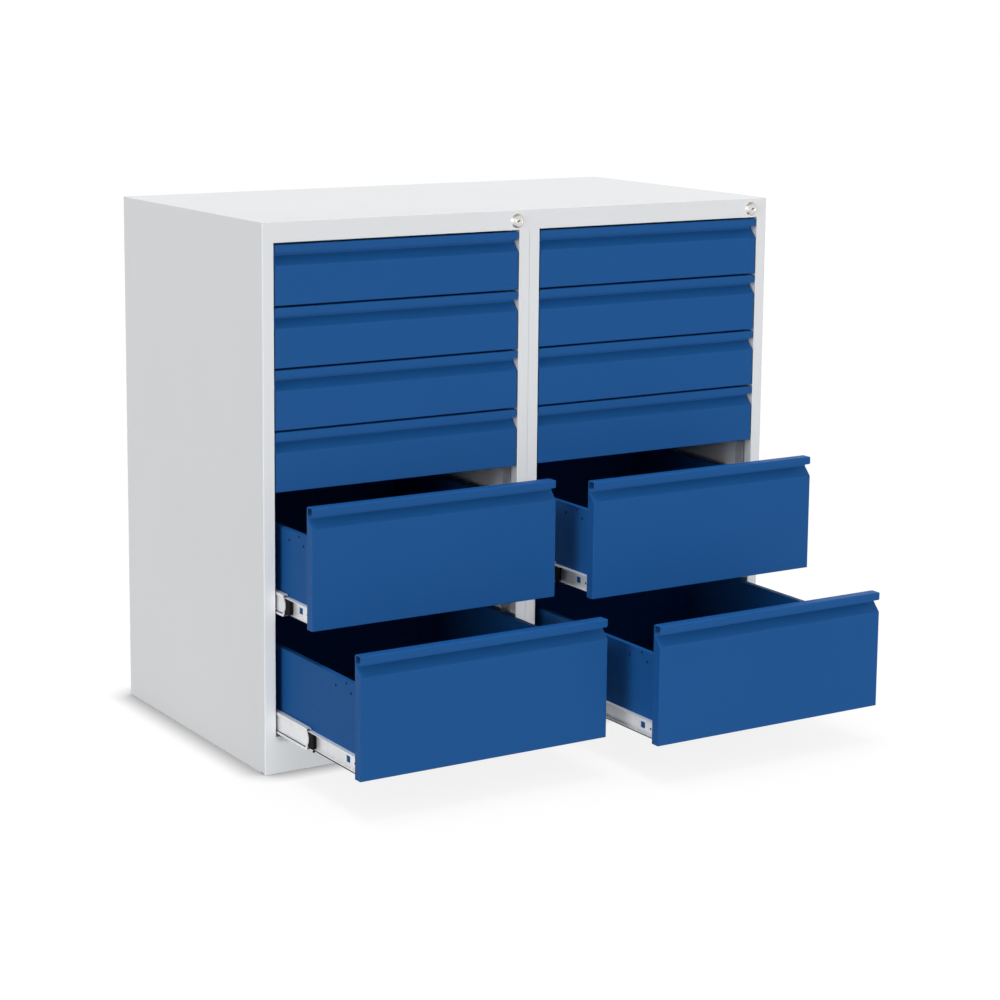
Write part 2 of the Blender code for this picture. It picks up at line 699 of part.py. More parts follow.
def build_drawers(blue, zinc):
    """Every drawer: its front, its box and the middle slide members that move half as far."""
    middle_members = {word: middle_member_mesh(side) for word, side in (("left", -1), ("right", 1))}
    fronts = {}
    boxes = {}
    for name, side, extension, pitches, lip_top in drawer_layout():
        if pitches not in fronts:
            fronts[pitches] = front_mesh(pitches)
            boxes[pitches] = box_mesh(pitches)
        x = side * COLUMN_CENTRE
        carrier = add_empty(name, (x, FRONT - extension, lip_top))
        add_object(f"{name}_front", fronts[pitches], blue, parent=carrier)
        add_object(f"{name}_box", boxes[pitches], blue, parent=carrier)
        slide_z = lip_top - front_height(pitches) + SLIDE_RISE
        middle = add_empty(f"{name}_middle", (x, FRONT - extension * MIDDLE_TRAVEL_SHARE, slide_z))
        for word, mesh in middle_members.items():
            add_object(f"{name}_{word}_middle_slide", mesh, zinc, parent=middle)


def lock_places():
    """X of each lock, measured from the right hand edge of its column."""
    edge = COLUMN_CENTRE + COLUMN_WIDTH / 2
    return {
        "left": edge - CABINET_WIDTH / 2 - LEFT_LOCK_INSET,
        "right": edge - RIGHT_LOCK_INSET,
    }


def bar_front():
    """Y of the front face of the locking bars."""
    return FRONT + BAR_SETBACK


def build_lock_housings(nickel):
    """The two domed rosettes with the bushes that pass through the top rail."""
    bore = (CYLINDER_RADIUS + FIT) / math.cos(math.pi / ROUND_SEGMENT_COUNT)
    rim = ROSETTE_RADIUS - CYLINDER_RADIUS
    dome = [
        (CYLINDER_RADIUS + rim * math.cos(turn), -FIT - ROSETTE_THICKNESS * math.sin(turn))
        for turn in DOME_TURNS
    ]
    profile = [
        *dome,
        (bore, -FIT - ROSETTE_THICKNESS),
        (bore, HOUSING_LENGTH),
        (HOUSING_RADIUS, HOUSING_LENGTH),
        (HOUSING_RADIUS, -FIT),
    ]
    bm = bmesh.new()
    turned(bm, profile, closed=True)
    mesh = mesh_from(bm, "lock_housing", SMOOTH_ANGLE)
    for side, lock_x in lock_places().items():
        add_object(f"lock_housing_{side}", mesh, nickel, (lock_x, FRONT, LOCK_Z))


def lock_cylinder_mesh():
    """The key cylinder and its cam, whose pin hangs below the axis while the bar is down."""
    bm = bmesh.new()
    profile = [
        (CYLINDER_RADIUS, -CYLINDER_HEAD),
        (CYLINDER_RADIUS, CAM_SETBACK),
    ]
    turned(bm, profile, closed=False)
    mesh = mesh_from(bm, "lock_cylinder")
    cam = bmesh.new()
    reach = BAR_TRAVEL + CAM_WIDTH / 2
    cam_y = (CAM_SETBACK - CAM_BITE, CAM_SETBACK + CAM_THICKNESS)
    block(cam, (-CAM_WIDTH / 2, CAM_WIDTH / 2), cam_y, (-reach, CAM_WIDTH / 2))
    mesh = combined(mesh, cam, "UNION")
    pin = bmesh.new()
    pin_end = BAR_SETBACK + BAR_THICKNESS + CATCH_CLEARANCE
    outline = circle(PIN_RADIUS, STUD_SEGMENT_COUNT, (0.0, -BAR_TRAVEL))
    prism(pin, outline, CAM_SETBACK + CAM_THICKNESS / 2, pin_end, "Y")
    mesh = combined(mesh, pin, "UNION")
    slot = bmesh.new()
    along = Vector((math.cos(KEY_SLOT_TILT), math.sin(KEY_SLOT_TILT))) * KEY_SLOT_LENGTH / 2
    across = Vector((-math.sin(KEY_SLOT_TILT), math.cos(KEY_SLOT_TILT))) * KEY_SLOT_WIDTH / 2
    corners = [tuple(corner) for corner in (along + across, across - along, -along - across, along - across)]
    prism(slot, corners, -CYLINDER_HEAD - CUT_OVERRUN, KEY_SLOT_DEPTH - CYLINDER_HEAD, "Y")
    return combined(mesh, slot, "DIFFERENCE")


def build_lock_cylinders(nickel):
    """One cylinder in each housing, with its origin on the axis it turns about."""
    mesh = lock_cylinder_mesh()
    for side, lock_x in lock_places().items():
        add_object(f"lock_cylinder_{side}", mesh, nickel, (lock_x, FRONT, LOCK_Z))


def bar_outline(lock_x, wall_x, bottom):
    """Outline of a locking bar seen from the front: web, one hook for each drawer, and head."""
    web_left = wall_x + 2 * SHEET
    web_right = web_left + BAR_WIDTH
    slack = pin_slack()
    head_low = LOCK_Z - BAR_TRAVEL - slack - HEAD_WALL
    head_high = LOCK_Z - BAR_TRAVEL + slack + HEAD_WALL
    head_left = lock_x - PIN_RADIUS - PIN_CLEARANCE - HEAD_WALL
    head_right = max(web_right, lock_x + BAR_TRAVEL + PIN_RADIUS + PIN_CLEARANCE + HEAD_WALL)
    points = [
        (web_right, bottom),
        (web_right, head_low),
        (head_right, head_low),
        (head_right, head_high),
        (head_left, head_high),
        (head_left, head_low),
        (web_left, head_low),
    ]
    if head_right == web_right:
        del points[1:3]
        points[1:1] = [(web_right, head_high)]
    for _, _, _, pitches, lip_top in column_layout():
        low = lip_top - front_height(pitches) + SLIDE_RISE + CABINET_MEMBER_HALF + HOOK_CLEARANCE
        points += [
            (web_left, low + HOOK_HEIGHT),
            (wall_x - HOOK_REACH, low + HOOK_HEIGHT),
            (wall_x - HOOK_REACH, low),
            (web_left, low),
        ]
    points.append((web_left, bottom))
    return points


def pin_slack():
    """Half the height of the slot in which the cam's pin runs while it lifts the bar evenly."""
    turn = math.acos(2 / math.pi)
    lag = BAR_TRAVEL * (math.sin(turn) - 2 * turn / math.pi)
    return PIN_RADIUS + lag + PIN_CLEARANCE


def build_locking_bars(zinc):
    """A flat comb beside each column, standing on the foot of its wall while unlocked."""
    walls = {
        "left": (-POST_WIDTH, PARTITION_BOTTOM),
        "right": (CABINET_WIDTH / 2 - POST_WIDTH, 0.0),
    }
    places = lock_places()
    for side, (wall_x, foot) in walls.items():
        lock_x = places[side]
        bm = bmesh.new()
        prism(bm, bar_outline(lock_x, wall_x, foot + SHEET + FIT), 0.0, BAR_THICKNESS, "Y")
        slot = bmesh.new()
        side_room = PIN_RADIUS + PIN_CLEARANCE
        slack = pin_slack()
        slot_x = (lock_x - side_room, lock_x + BAR_TRAVEL + side_room)
        outline = rectangle(*slot_x, LOCK_Z - BAR_TRAVEL - slack, LOCK_Z - BAR_TRAVEL + slack)
        prism(slot, outline, -CUT_OVERRUN, BAR_THICKNESS + CUT_OVERRUN, "Y")
        mesh = combined(mesh_from(bm, f"locking_bar_{side}"), slot, "DIFFERENCE")
        add_object(f"locking_bar_{side}", mesh, zinc, (0.0, bar_front(), 0.0))


def main():
    """Clears the scene and builds the cabinet."""
    for item in list(bpy.data.objects):
        bpy.data.objects.remove(item)
    grey = material("light_grey_powder_coat", *GREY_FINISH)
    blue = material("gentian_blue_powder_coat", *BLUE_FINISH)
    zinc = material("bright_zinc_plate", *ZINC_FINISH)
    nickel = material("nickel_plate", *NICKEL_FINISH)
    build_side_panels(grey)
    build_centre_partition(grey)
    build_top_panel(grey)
    build_base_panel(grey)
    build_back_panel(grey)
    build_drawers(blue, zinc)
    build_lock_housings(nickel)
    build_lock_cylinders(nickel)
    build_locking_bars(zinc)


main()
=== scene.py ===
"""Industrial drawer cabinet: the finishes, small pieces, light and camera around its solids."""
import math

import bmesh
import bpy
from mathutils import Matrix, Vector


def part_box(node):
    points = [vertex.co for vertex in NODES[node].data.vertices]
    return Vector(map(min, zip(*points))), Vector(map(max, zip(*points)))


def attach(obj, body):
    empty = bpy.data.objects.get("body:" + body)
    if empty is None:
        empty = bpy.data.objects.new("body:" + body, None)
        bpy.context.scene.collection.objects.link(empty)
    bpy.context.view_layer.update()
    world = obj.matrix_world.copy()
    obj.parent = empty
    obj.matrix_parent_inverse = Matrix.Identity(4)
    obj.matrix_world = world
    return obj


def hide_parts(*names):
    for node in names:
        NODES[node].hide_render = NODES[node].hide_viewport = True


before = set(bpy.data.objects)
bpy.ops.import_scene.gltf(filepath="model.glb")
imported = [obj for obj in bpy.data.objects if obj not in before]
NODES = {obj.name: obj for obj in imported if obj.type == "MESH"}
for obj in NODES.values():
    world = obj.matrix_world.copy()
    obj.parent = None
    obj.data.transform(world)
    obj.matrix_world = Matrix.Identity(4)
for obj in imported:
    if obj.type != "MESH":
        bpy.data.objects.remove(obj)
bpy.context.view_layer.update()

# Camera: the photograph's viewpoint
CAMERA_PLACE = (-2.2228, -3.6826, 1.2697)
CAMERA_YAW = math.radians(31.208)
CAMERA_PITCH = math.radians(-9.192)
CAMERA_ROLL = math.radians(0.365)
CAMERA_LENS = 87.914
CAMERA_SENSOR = 36.0
CAMERA_SHIFT = (0.05, -0.12)

# Sky: its strength on the cabinet, how grey gloss finds its zenith, and the rise over which it greys
SKY_STRENGTH = 0.36
ZENITH_GLOSS = 0.35
ZENITH_RISE = (0.35, 0.95)

# Lamps: the direction, strength and spread of each, and whether gloss mirrors it
LAMPS = {
    "key": ((-0.10, 0.04, 1.0), 1.92, math.radians(22.0), False),
    "front_fill": ((0.0, -1.0, 0.035), 1.56, math.radians(3.0), True),
    "left_fill": ((-1.0, -0.25, 0.14), 1.53, math.radians(30.0), True),
    "back_fill": ((0.75, 0.65, 0.12), 1.10, math.radians(30.0), False),
}

# Floor: its shade where it lights the cabinet and where it is seen, and two soft shades round the cabinet
FLOOR_SIZE = 60.0
FLOOR_DROP = 0.0002
FLOOR_SHADE = 0.32
FLOOR_SEEN_SHADE = 0.08
FLOOR_SEEN_GLOW = 0.93
CONTACT_REACH = 0.050
CONTACT_DEPTH = 1.4
WIDE_REACH = 0.22
WIDE_DEPTH = 0.075
OPENNESS_SAMPLES = 8

# Sizes that the solids are built to, with distances from the middle plane of a column
FRONT = -0.2675
BACK = 0.2675
HALF_WIDTH = 0.5
HEIGHT = 0.9
POST = 0.02
RAIL_BOTTOM = 0.867
PLINTH_TOP = 0.062
COLUMN_CENTRE = 0.25
WALL_DISTANCE = 0.23
BOX_DISTANCE = 0.2173
SLIDE_RISE = 0.020
SLIDE_START = 0.0190
SLIDE_LENGTH = 0.500
GAUGE = 0.0012
DEEP_FRONT = 0.15

# The paint that runs unbroken over the welded corners of the carcass
SKIN = 0.0004
SKIN_FACE = FRONT - SKIN
SKIN_SIDE = HALF_WIDTH + SKIN
SKIN_TOP = HEIGHT + SKIN
SKIN_THICKNESS = 0.0003
SKIN_BEND = 0.0019
SKIN_FOLD = 0.0008
SKIN_FOLD_STEPS = 3
SKIN_RETURN = 0.00145
FOLD_ANGLE = math.radians(45.0)
FLAT_FACE_WEIGHT = 100
SEAM_HALF = 0.00035
RELIEF_START = 0.002
RELIEF_END = 0.015
RELIEF_HEIGHT = 0.002
TOUCH = 1e-6
PLACE_DIGITS = 7

# Locks: radii, and depths in front of the post's face
LOCK_X = {"left": -0.0245, "right": 0.4665}
LOCK_DOWN_RAIL = 0.545
LOCK_Z = RAIL_BOTTOM + (HEIGHT - RAIL_BOTTOM) * (1 - LOCK_DOWN_RAIL)
ROSETTE_RADIUS = 0.01225
ROSETTE_FLAT = 0.0088
ROSETTE_DEPTH = 0.0046
ROSETTE_BEVEL = 50.0
ROSETTE_EDGE = 0.0003
ROSETTE_SHOULDER = 0.0004
BUSH_RADIUS = 0.0095
BUSH_LENGTH = 0.015
PLUG_RADIUS = 0.0070
PLUG_CLEARANCE = 0.0002
PLUG_EDGE = 0.0003
PLUG_FRONT = 0.0049
PLUG_START = 0.0028
PLUG_RING = 0.0048
PLUG_RING_HALF = 0.0002
PLUG_RING_DEPTH = 0.00015
PLUG_CORE = 0.0001
KEY_SLOT = (0.0064, 0.0021)
KEY_SLOT_TILT = math.radians(35.0)
KEY_SLOT_SUNK = 0.0001
KEY_SLOT_PROUD = 0.00008
KEY_SLOT_STEPS = 6
ROUND_STEPS = 96
EDGE_STEPS = 3
SHOULDER_STEPS = 4
SHARP_ANGLE = math.radians(30.0)

# Holes, drawn as dark discs of painted shade: the plinth's by its x and z, the others by their distance
# behind a drawer's face and their drop
PLINTH_HOLE = (-0.411, 0.0257)
PLINTH_HOLE_RADIUS = 0.0022
RIVET_HOLE = (0.0345, 0.0015)
RIVET_HOLE_RADIUS = 0.0018
SIDE_HOLES = ((0.098, 0.070), (0.064, 0.0585), (0.049, 0.071))
SIDE_HOLE_RADIUS = 0.0023
HOLE_PROUD = 0.00012
HOLE_STEPS = 20

# Slides: the nose tabs, and the painted shadow lines along the lower races by their distance inside the wall
# and below the slide's axis
NOSE_BEHIND_BUFFER = 0.0165
NOSE_DIGITS = 5
TAB_RADIUS = 0.0085
TAB_REACH = 0.0032
TAB_ROOT = 0.001
TAB_STEPS = 12
WEB_DEPTH = 0.0033
RACE_SHADOW = 0.0017
RACE_SHADOW_THICKNESS = 0.0003
RACE_END = 0.004
DRAWER_RACE_SHADOW = (0.0052, 0.0120)
MIDDLE_RACE_SHADOW = (0.0020, 0.0122)


def linear(red, green, blue):
    """A colour from its 0 to 255 display values, as the shaders want it."""
    def one(value):
        value /= 255.0
        return value / 12.92 if value <= 0.04045 else ((value + 0.055) / 1.055) ** 2.4
    return (one(red), one(green), one(blue), 1.0)


# Finishes: noise scales in cells to the metre, reliefs in metres, and the spans that noise is read over
WHITE = (1.0, 1.0, 1.0, 1.0)
FULL = (0.0, 1.0)
MIDDLE = (0.3, 0.7)
GREY_PAINT = {
    "colour": linear(222, 224, 226),
    "drift": 0.010,
    "roughness": (0.46, 0.56),
    "zinc_smoother": 0.20,
    "grain": 0.10,
}
BLUE_PAINT = {
    "colour": (0.0105, 0.0840, 0.2700, 1.0),
    "drift": 0.02,
    "roughness": (0.42, 0.52),
    "zinc_smoother": 0.12,
    "grain": 0.12,
}
CARCASS_GLOSS = 0.30
FRONT_GLOSS = 0.10
BOX_GLOSS = 0.05
DRIFT_SCALE = 5.0
SPECKLE_SCALE = 2200.0
SHEEN_SCALE = 90.0
GRAIN_SCALE = 700.0
GRAIN_RELIEF = 0.00012
WAVE_SCALE = 140.0
WAVE_RELIEF = 0.0003
WAVE_SHARE = 0.6
ZINC = linear(230, 231, 233)
ZINC_CLOUD = linear(240, 241, 242)
ZINC_METAL = 0.45
ZINC_ROUGHNESS = (0.28, 0.42)
ZINC_GLOSS = 0.10
CLOUD_SCALE = 35.0
CLOUD_MIDDLE = (0.35, 0.65)
ROLLING_SCALE = 60.0
ROLLING_STRETCH = (20.0, 1.0, 20.0)
ROLLING_STRENGTH = 0.05
ROLLING_RELIEF = 0.0001
RUBBER = (0.006, 0.006, 0.007, 1.0)
RUBBER_ROUGHER = 0.35
NICKEL = linear(214, 211, 205)
NICKEL_CLOUD = linear(220, 217, 212)
NICKEL_METAL = 0.9
NICKEL_ROUGHNESS = (0.26, 0.34)
SWIRL_SCALE = 900.0
SWIRL_STRENGTH = 0.02
SWIRL_RELIEF = 0.00005
# Painted shade: the near-black that stands for the shade inside holes, in the key slot and along the slides'
# races
HOLE_SHADE = (0.004, 0.006, 0.012, 1.0)
HOLE_ROUGHNESS = 0.8
HOLE_GLOSS = 0.1
COLOUR_EDGE = 0.00005


class Tree:
    """The node tree of a material or of the world, with short calls for the nodes that it needs."""

    def __init__(self, owner):
        owner.use_nodes = True
        self.nodes = owner.node_tree.nodes
        self.links = owner.node_tree.links

    def node(self, kind, **settings):
        """A node with its properties set."""
        made = self.nodes.new(kind)
        for key, value in settings.items():
            setattr(made, key, value)
        return made

    def feed(self, socket, value):
        """Links an output to a socket, or sets the socket to a value."""
        if isinstance(value, bpy.types.NodeSocket):
            self.links.new(value, socket)
        else:
            socket.default_value = value

    def ranged(self, value, span_in, span_out, **settings):
        """Maps one span of values to another, held at its ends."""
        made = self.node("ShaderNodeMapRange", clamp=True, **settings)
        names = ("Value", "From Min", "From Max", "To Min", "To Max")
        for name, given in zip(names, (value, *span_in, *span_out)):
            self.feed(made.inputs[name], given)
        return made.outputs["Result"]

    def maths(self, operation, *values):
        """One step of arithmetic."""
        made = self.node("ShaderNodeMath", operation=operation)
        for socket, value in zip(made.inputs, values):
            self.feed(socket, value)
        return made.outputs[0]

    def along(self, place, axis):
        """A place's coordinate along an axis."""
        made = self.node("ShaderNodeSeparateXYZ")
        self.feed(made.inputs[0], place)
        return made.outputs[axis]

    def seen(self, path):
        """1 on rays from the camera, from gloss or through glass, 0 on all others."""
        result = path.outputs["Is Camera Ray"]
        for ray in ("Is Glossy Ray", "Is Transmission Ray"):
            result = self.maths("MAXIMUM", result, path.outputs[ray])
        return result


class Shader(Tree):
    """A material, with its surface and the place of each point in the object's own space."""

    def __init__(self, name):
        self.material = bpy.data.materials.new(name)
        super().__init__(self.material)
        self.surface = self.nodes["Principled BSDF"]
        self.place = self.node("ShaderNodeTexCoord").outputs["Object"]

    def noise(self, scale, detail=2.0, roughness=0.5, stretch=None):
        """Smooth noise in object space, stretched along an axis where asked."""
        made = self.node("ShaderNodeTexNoise")
        place = self.place
        if stretch:
            mapping = self.node("ShaderNodeMapping")
            self.feed(mapping.inputs["Vector"], place)
            self.feed(mapping.inputs["Scale"], stretch)
            place = mapping.outputs["Vector"]
        self.feed(made.inputs["Vector"], place)
        self.feed(made.inputs["Scale"], scale)
        self.feed(made.inputs["Detail"], detail)
        self.feed(made.inputs["Roughness"], roughness)
        return made.outputs["Fac"]

    def mixed(self, factor, a, b):
        """A blend of two colours."""
        made = self.node("ShaderNodeMix", data_type="RGBA")
        sockets = {socket.identifier: socket for socket in made.inputs}
        self.feed(sockets["Factor_Float"], factor)
        self.feed(sockets["A_Color"], a)
        self.feed(sockets["B_Color"], b)
        return {socket.identifier: socket for socket in made.outputs}["Result_Color"]

    def off_centre(self):
        """Distance from the middle plane of the column that the point belongs to."""
        across = self.maths("ABSOLUTE", self.along(self.place, "X"))
        return self.maths("ABSOLUTE", self.maths("SUBTRACT", across, COLUMN_CENTRE))

    def openness(self, reach):
        """The share of the directions above a point that are free as far as the reach."""
        made = self.node("ShaderNodeAmbientOcclusion", samples=OPENNESS_SAMPLES)
        self.feed(made.inputs["Distance"], reach)
        return made.outputs["AO"]

    def bump(self, *layers):
        """Stacks bump layers of (height, strength, distance) onto the surface's normal."""
        normal = None
        for height, strength, distance in layers:
            made = self.node("ShaderNodeBump")
            self.feed(made.inputs["Height"], height)
            self.feed(made.inputs["Strength"], strength)
            self.feed(made.inputs["Distance"], distance)
            if normal:
                self.feed(made.inputs["Normal"], normal)
            normal = made.outputs["Normal"]
        self.feed(self.surface.inputs["Normal"], normal)

    def set(self, **values):
        """Sets or links sockets of the surface, with spaces written as underscores."""
        for key, value in values.items():
            self.feed(self.surface.inputs[key.replace("_", " ")], value)


def drifting(shader, colour, drift):
    """A colour with a faint drift over the sheet and a fine speckle of half its depth."""
    broad = shader.ranged(shader.noise(DRIFT_SCALE, detail=3.0), MIDDLE, (1.0 - drift, 1.0 + drift))
    speckle = shader.noise(SPECKLE_SCALE, detail=1.0)
    fine = shader.ranged(speckle, MIDDLE, (1.0 - drift / 2, 1.0 + drift / 2))
    tint = shader.node("ShaderNodeVectorMath", operation="SCALE")
    shader.feed(tint.inputs[0], colour[:3])
    shader.feed(tint.inputs["Scale"], shader.maths("MULTIPLY", broad, fine))
    return tint.outputs["Vector"]


def clouded_zinc(shader):
    """The colour of bright zinc, with soft clouds."""
    clouds = shader.noise(CLOUD_SCALE, detail=4.0)
    return shader.mixed(shader.ranged(clouds, CLOUD_MIDDLE, FULL), ZINC, ZINC_CLOUD)


def powder_coat(shader, paint, gloss, metal=None):
    """Powder coat with its orange peel, fine grain over broader waves, and zinc where metal is 1."""
    colour = drifting(shader, paint["colour"], paint["drift"])
    roughness = shader.ranged(shader.noise(SHEEN_SCALE), MIDDLE, paint["roughness"])
    if metal is not None:
        colour = shader.mixed(metal, colour, clouded_zinc(shader))
        smoother = shader.maths("MULTIPLY", metal, paint["zinc_smoother"])
        roughness = shader.maths("SUBTRACT", roughness, smoother)
        shader.set(Metallic=shader.maths("MULTIPLY", metal, ZINC_METAL))
    shader.set(Base_Color=colour, Roughness=roughness, Specular_IOR_Level=gloss)
    shader.bump(
        (shader.noise(GRAIN_SCALE), paint["grain"], GRAIN_RELIEF),
        (shader.noise(WAVE_SCALE), paint["grain"] * WAVE_SHARE, WAVE_RELIEF),
    )
    return shader.material


def grey_paint(name, with_slides=False):
    """The carcass: light grey powder coat, and zinc where the fixed slide members are."""
    shader = Shader(name)
    metal = None
    if with_slides:
        metal = shader.maths("LESS_THAN", shader.off_centre(), WALL_DISTANCE - COLOUR_EDGE)
    return powder_coat(shader, GREY_PAINT, CARCASS_GLOSS, metal)


def blue_paint(name, gloss, with_slides=False):
    """The drawers: gentian blue powder coat, and zinc where the drawer slide members are."""
    shader = Shader(name)
    metal = None
    if with_slides:
        metal = shader.maths("GREATER_THAN", shader.off_centre(), BOX_DISTANCE + COLOUR_EDGE)
    return powder_coat(shader, BLUE_PAINT, gloss, metal)


def zinc_plate(name, nose=None):
    """The slides and bars: bright rolled zinc, with a black rubber buffer in front of a nose."""
    shader = Shader(name)
    lines = shader.noise(ROLLING_SCALE, detail=3.0, roughness=0.6, stretch=ROLLING_STRETCH)
    colour = clouded_zinc(shader)
    roughness = shader.ranged(lines, MIDDLE, ZINC_ROUGHNESS)
    metallic = ZINC_METAL
    if nose is not None:
        rubber = shader.maths("LESS_THAN", shader.along(shader.place, "Y"), nose - COLOUR_EDGE)
        colour = shader.mixed(rubber, colour, RUBBER)
        roughness = shader.maths("ADD", roughness, shader.maths("MULTIPLY", rubber, RUBBER_ROUGHER))
        metallic = shader.maths("MULTIPLY", shader.maths("SUBTRACT", 1.0, rubber), ZINC_METAL)
    shader.set(Base_Color=colour, Metallic=metallic, Roughness=roughness, Specular_IOR_Level=ZINC_GLOSS)
    shader.bump((lines, ROLLING_STRENGTH, ROLLING_RELIEF))
    return shader.material


def nickel_plate():
    """The locks: polished nickel with a faint swirl of handling marks."""
    shader = Shader("nickel_finish")
    marks = shader.noise(SWIRL_SCALE, detail=3.0)
    colour = shader.mixed(shader.ranged(marks, MIDDLE, FULL), NICKEL, NICKEL_CLOUD)
    roughness = shader.ranged(marks, MIDDLE, NICKEL_ROUGHNESS)
    shader.set(Base_Color=colour, Metallic=NICKEL_METAL, Roughness=roughness)
    shader.bump((marks, SWIRL_STRENGTH, SWIRL_RELIEF))
    return shader.material


def painted_hole_shade():
    """Painted shade: a plain near-black for the shade inside holes and gaps, and along the slides' races."""
    shader = Shader("painted_hole_shade_finish")
    shader.set(Base_Color=HOLE_SHADE, Roughness=HOLE_ROUGHNESS, Specular_IOR_Level=HOLE_GLOSS)
    return shader.material


FINISH = {
    "grey": grey_paint("light_grey_finish"),
    "wall": grey_paint("light_grey_wall_finish", with_slides=True),
    "blue": blue_paint("gentian_blue_finish", FRONT_GLOSS),
    "box": blue_paint("gentian_blue_box_finish", BOX_GLOSS, with_slides=True),
    "zinc": zinc_plate("bright_zinc_finish"),
    "nickel": nickel_plate(),
    # painted shade for holes, the key slot and the race lines
    "hole": painted_hole_shade(),
}


def dress_nodes():
    """Gives every solid its finish. Middle slides share one where their noses are as far back."""
    slide_finish = {}
    for name, item in NODES.items():
        if name.endswith("_box"):
            look = FINISH["box"]
        elif name.endswith("_front"):
            look = FINISH["blue"]
        elif name.endswith("slide"):
            nose = round(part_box(name)[0][1] + NOSE_BEHIND_BUFFER, NOSE_DIGITS)
            if nose not in slide_finish:
                slide_finish[nose] = zinc_plate(f"bright_zinc_slide_{len(slide_finish) + 1}_finish", nose)
            look = slide_finish[nose]
        elif name.startswith("locking_bar"):
            look = FINISH["zinc"]
        elif name.startswith("lock"):
            look = FINISH["nickel"]
        elif name.endswith("side_panel") or name.endswith("partition"):
            look = FINISH["wall"]
        else:
            look = FINISH["grey"]
        item.material_slots[0].material = look


def add_piece(name, bm, look, body, smooth=None):
    """Turns a bmesh into a piece of the visual model that rides on a body."""
    bmesh.ops.recalc_face_normals(bm, faces=bm.faces)
    mesh = bpy.data.meshes.new(name)
    bm.to_mesh(mesh)
    bm.free()
    mesh.materials.append(look)
    if smooth is not None:
        mesh.shade_smooth()
        mesh.set_sharp_from_angle(angle=smooth)
    item = bpy.data.objects.new(name, mesh)
    bpy.context.scene.collection.objects.link(item)
    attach(item, body)
    return item


class Coat:
    """A bmesh of rectangles that share their corners."""

    def __init__(self):
        self.bm = bmesh.new()
        self.known = {}

    def corner(self, place):
        """The vertex at a place, made where there is none yet."""
        key = tuple(round(value, PLACE_DIGITS) for value in place)
        if key not in self.known:
            self.known[key] = self.bm.verts.new(place)
        return self.known[key]

    def rectangle(self, first, third):
        """A face between two opposite corners that lie in one plane square to an axis."""
        turning = 1 if first[0] == third[0] else 0
        second = list(first)
        fourth = list(third)
        second[turning] = third[turning]
        fourth[turning] = first[turning]
        self.bm.faces.new([self.corner(place) for place in (first, second, third, fourth)])


def coat_faces():
    """The coat's faces: the front frame with its openings and seam, the sides, the top and the returns."""
    xs = (-SKIN_SIDE, POST - HALF_WIDTH, -POST, -SEAM_HALF, SEAM_HALF, POST, HALF_WIDTH - POST, SKIN_SIDE)
    ys = (SKIN_FACE, FRONT + RELIEF_START, FRONT + RELIEF_END, BACK - SKIN)
    zs = (0.0, RELIEF_HEIGHT, PLINTH_TOP, RAIL_BOTTOM, SKIN_TOP)
    coat = Coat()
    for left, right in zip(xs, xs[1:]):
        across = abs(left + right) / 2
        open_strip = POST < across < HALF_WIDTH - POST or across < SEAM_HALF
        for low, high in zip(zs, zs[1:]):
            if not (open_strip and low >= PLINTH_TOP and high <= RAIL_BOTTOM):
                coat.rectangle((left, SKIN_FACE, low), (right, SKIN_FACE, high))
    for near, far in zip(ys, ys[1:]):
        for x in (-SKIN_SIDE, SKIN_SIDE):
            for low, high in zip(zs, zs[1:]):
                relief = near == FRONT + RELIEF_START and high <= RELIEF_HEIGHT
                if not relief:
                    coat.rectangle((x, near, low), (x, far, high))
        for left, right in zip(xs, xs[1:]):
            coat.rectangle((left, near, SKIN_TOP), (right, far, SKIN_TOP))
    back = FRONT + SKIN_RETURN
    for left, right in ((POST - HALF_WIDTH, -POST), (POST, HALF_WIDTH - POST)):
        for z in (PLINTH_TOP, RAIL_BOTTOM):
            coat.rectangle((left, SKIN_FACE, z), (right, back, z))
        for x in (left, right):
            coat.rectangle((x, SKIN_FACE, PLINTH_TOP), (x, back, RAIL_BOTTOM))
    return coat.bm


def mark_folds(bm):
    """Weights the folded edges of the coat. Those that run up the sides bend wider than the rest."""
    bmesh.ops.recalc_face_normals(bm, faces=bm.faces)
    widths = bm.edges.layers.float.new("bevel_weight_edge")
    for edge in bm.edges:
        if len(edge.link_faces) != 2 or edge.calc_face_angle() <= FOLD_ANGLE:
            continue
        ends = [vertex.co for vertex in edge.verts]
        run = ends[0] - ends[1]
        upright = abs(run.z) > abs(run.x) + abs(run.y)
        at_side = all(abs(abs(end.x) - SKIN_SIDE) < TOUCH for end in ends)
        at_top = all(abs(end.z - SKIN_TOP) < TOUCH for end in ends)
        at_face = all(abs(end.y - SKIN_FACE) < TOUCH for end in ends)
        if at_side or at_top or at_face:
            edge[widths] = 1.0 if upright and at_side else SKIN_FOLD / SKIN_BEND


def carcass_paint():
    """The outside of the carcass as one unbroken thin coat with rounded folds."""
    bm = coat_faces()
    mark_folds(bm)
    item = add_piece("carcass_paint", bm, FINISH["grey"], "cabinet")
    item.data.shade_smooth()
    folds = item.modifiers.new("folds", "BEVEL")
    folds.limit_method = "WEIGHT"
    folds.width = SKIN_BEND
    folds.segments = SKIN_FOLD_STEPS
    thickness = item.modifiers.new("thickness", "SOLIDIFY")
    thickness.thickness = SKIN_THICKNESS
    thickness.offset = -1.0
    thickness.use_even_offset = True
    flat = item.modifiers.new("flat_faces", "WEIGHTED_NORMAL")
    flat.weight = FLAT_FACE_WEIGHT


def join_rings(bm, first, second):
    """Faces between two closed rings of as many vertices."""
    for index in range(len(first)):
        following = (index + 1) % len(first)
        bm.faces.new((first[index], first[following], second[following], second[index]))


def prism(bm, *outlines):
    """A closed solid between two outlines of as many points."""
    rings = [[bm.verts.new(place) for place in outline] for outline in outlines]
    for ring in rings:
        bm.faces.new(ring)
    join_rings(bm, *rings)


